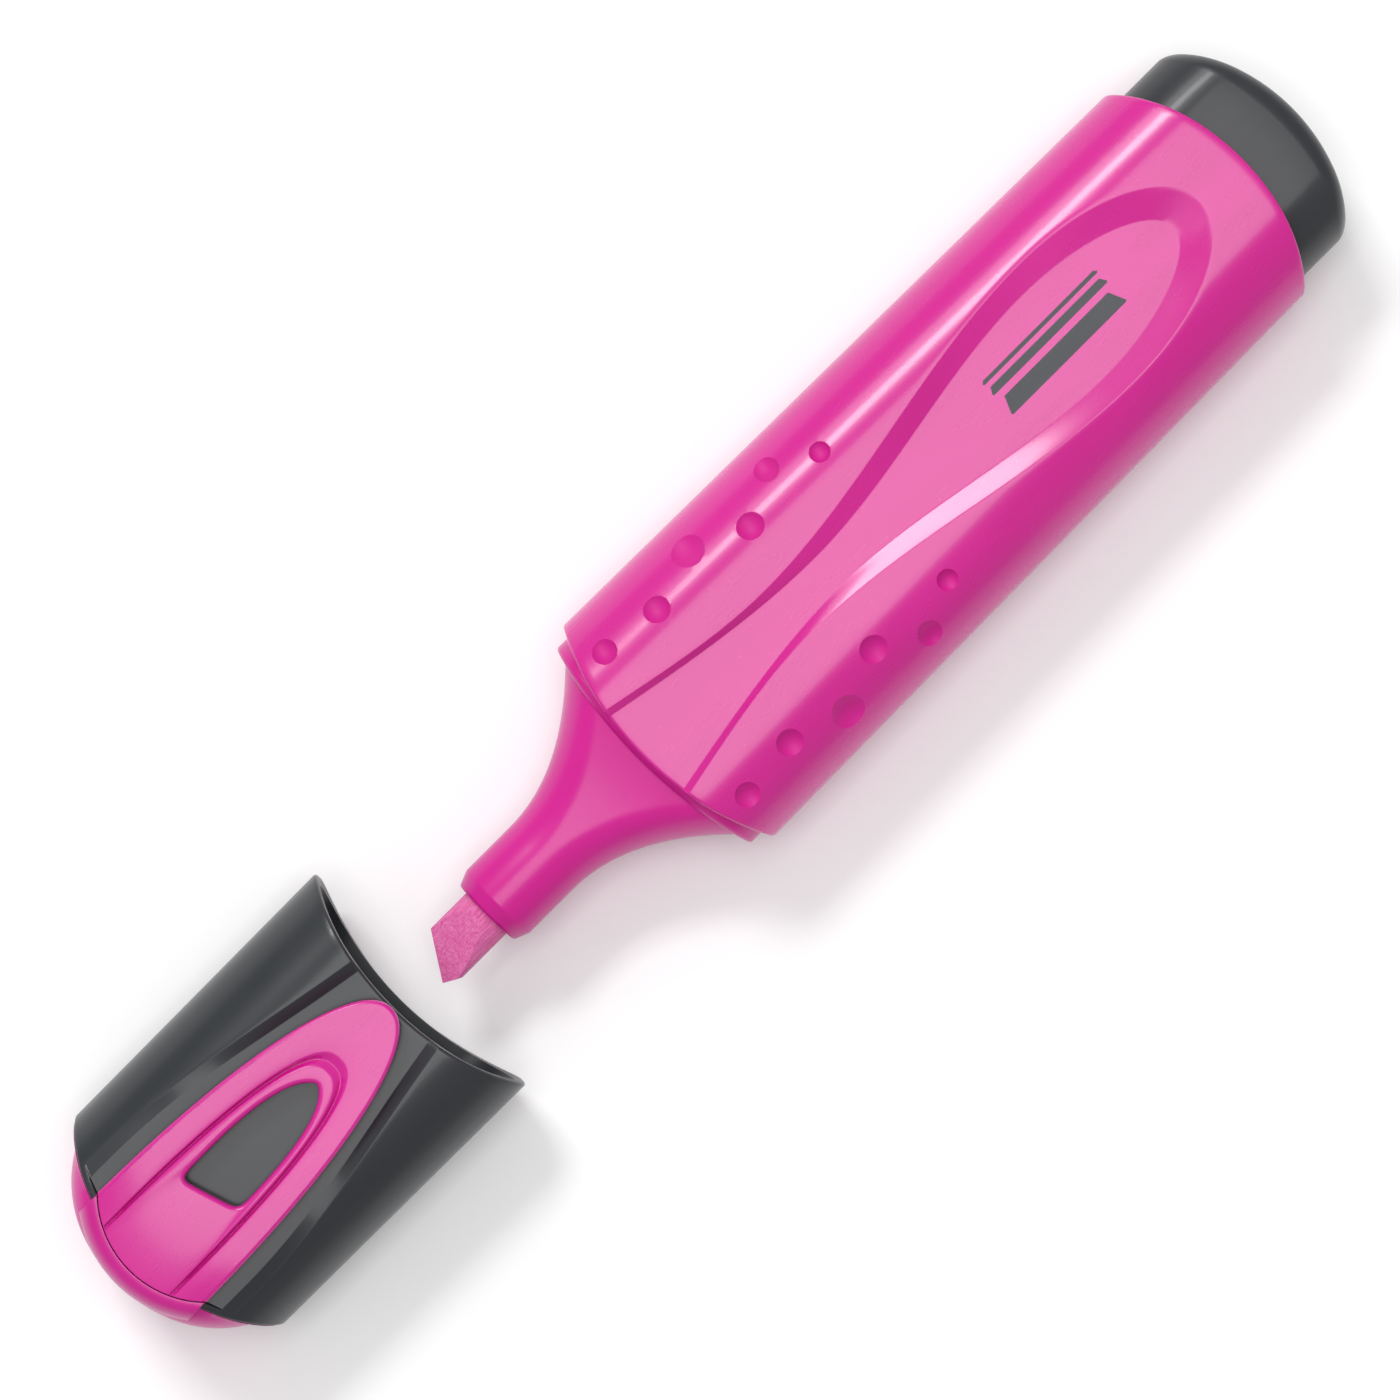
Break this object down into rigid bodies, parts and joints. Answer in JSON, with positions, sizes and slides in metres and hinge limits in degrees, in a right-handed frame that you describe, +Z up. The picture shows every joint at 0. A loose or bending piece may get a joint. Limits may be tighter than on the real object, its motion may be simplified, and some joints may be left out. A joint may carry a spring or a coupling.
{
  "type": "highlighter",
  "caption": "Flat-bodied highlighter pen with a chisel felt nib, ink reservoir, rear plug and a pull-off cap with a sprung pocket clip.",
  "frame": {"origin": "centre of the bounding box's bottom, with the cap off and lying in line with the pen, as it rests on a table", "axes": "+X along the pen from the cap's closed end to the rear plug, +Y across its width, +Z up through its thickness, on the clip's side"},
  "size_m": [0.156, 0.028, 0.0177],
  "materials": {
    "barrel_plastic": "injection-moulded polypropylene, satin gloss",
    "holder_plastic": "injection-moulded polypropylene, satin gloss",
    "felt_nib": "ground polyester felt, soaked with ink",
    "ink_fibre": "bundled polyester fibre, soaked with ink",
    "wrap_film": "thin clear film",
    "tube_plastic": "extruded tube",
    "plug_plastic": "injection-moulded, satin",
    "shell_plastic": "injection-moulded, satin",
    "cap_end_plastic": "injection-moulded, satin gloss",
    "liner_plastic": "soft natural polyethylene",
    "clip_plastic": "injection-moulded, satin gloss"
  },
  "bodies": {
    "pen": {"barrel": "barrel_plastic", "nib_holder": "holder_plastic", "nib": "felt_nib", "ink_reservoir": "ink_fibre", "reservoir_film": "wrap_film", "breather_tube": "tube_plastic", "rear_plug": "plug_plastic"},
    "cap": {"cap_shell": "shell_plastic", "cap_end": "cap_end_plastic", "cap_liner": "liner_plastic"},
    "clip": {"clip": "clip_plastic"}
  },
  "joints": [
    {"name": "cap_slide", "type": "slide", "parent": "pen", "child": "cap", "axis": [1, 0, 0], "range_m": [-0.02, 0.0326]},
    {"name": "clip_flex", "type": "hinge", "parent": "cap", "child": "clip", "pos_m": [-0.0744, 0, 0.01695], "axis": [0, -1, 0], "range_deg": [0, 5], "stiffness_Nm_per_rad": 1.5}
  ]
}
